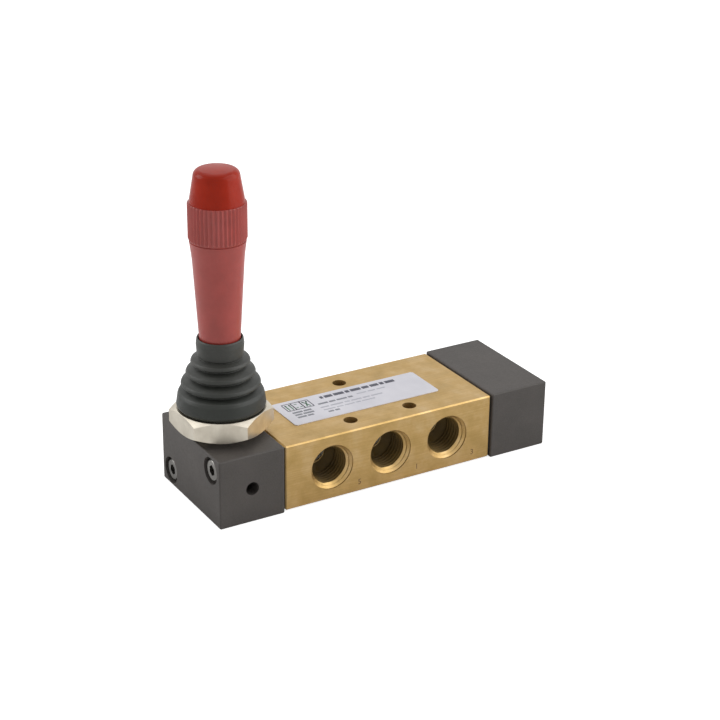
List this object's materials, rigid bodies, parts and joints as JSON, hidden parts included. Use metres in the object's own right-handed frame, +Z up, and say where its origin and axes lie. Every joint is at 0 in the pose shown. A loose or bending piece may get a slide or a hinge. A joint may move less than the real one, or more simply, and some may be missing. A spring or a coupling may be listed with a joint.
{
  "type": "hand lever air valve",
  "caption": "Hand lever spool valve: brass body with threaded ports, dark end covers, and an upright red handle in a rubber boot over a hexagon nut.",
  "frame": {"origin": "centre of the brass body's bottom face", "axes": "+X along the body towards the plain end cover, -Y towards the three front ports, +Z up along the lever"},
  "size_m": [0.1191, 0.039, 0.1039],
  "materials": {
    "brass": "milled, slightly tarnished",
    "label_foil": "satin foil with printed bars",
    "cover_black": "fine matte grain",
    "gasket_fibre": "dull",
    "screw_steel": "zinc plated",
    "plated_steel": "nickel plated, softly brushed",
    "bright_steel": "ground",
    "spring_steel": "drawn wire",
    "spool_steel": "polished",
    "stack_plastic": "plain acetal",
    "seal_rubber": "dull nitrile",
    "boot_rubber": "satin moulded rubber",
    "grip_red": "matte moulded plastic",
    "cap_red": "glossy moulded plastic"
  },
  "bodies": {
    "valve": {"valve_body": "brass", "label_plate": "label_foil", "lever_end_cap": "cover_black", "far_end_cap": "cover_black", "lever_cap_gasket": "gasket_fibre", "far_cap_gasket": "gasket_fibre", "lever_cap_screws": "screw_steel", "far_cap_screws": "screw_steel", "neck_bush": "plated_steel", "panel_nut": "plated_steel", "pivot_pin": "bright_steel", "boot": "boot_rubber", "lever_guide_bush": "stack_plastic", "far_guide_bush": "stack_plastic", "inner_centring_spring": "spring_steel", "outer_centring_spring": "spring_steel", "port_5_cage": "stack_plastic", "port_4_cage": "stack_plastic", "port_1_cage": "stack_plastic", "port_2_cage": "stack_plastic", "port_3_cage": "stack_plastic", "spool_seal_1": "seal_rubber", "spool_seal_2": "seal_rubber", "spool_seal_3": "seal_rubber", "spool_seal_4": "seal_rubber", "spool_seal_5": "seal_rubber", "spool_seal_6": "seal_rubber"},
    "lever": {"lever_rod": "bright_steel", "grip": "grip_red", "grip_end_cap": "cap_red"},
    "spool": {"spool": "spool_steel", "spring_collar": "bright_steel", "collar_clip": "spring_steel"}
  },
  "joints": [
    {"name": "lever_tilt", "type": "hinge", "parent": "valve", "child": "lever", "pos_m": [-0.04775, 0, 0.0252], "axis": [0, 1, 0], "range_deg": [-12, 12], "stiffness_Nm_per_rad": 0.6, "deforming": ["boot"]},
    {"name": "spool_slide", "type": "slide", "parent": "valve", "child": "spool", "axis": [1, 0, 0], "range_m": [-0.0031, 0.0031], "deforming": ["inner_centring_spring", "outer_centring_spring"]}
  ],
  "couplings": [
    {"joint": "spool_slide", "follows": "lever_tilt", "m_per_rad": -0.014493}
  ]
}
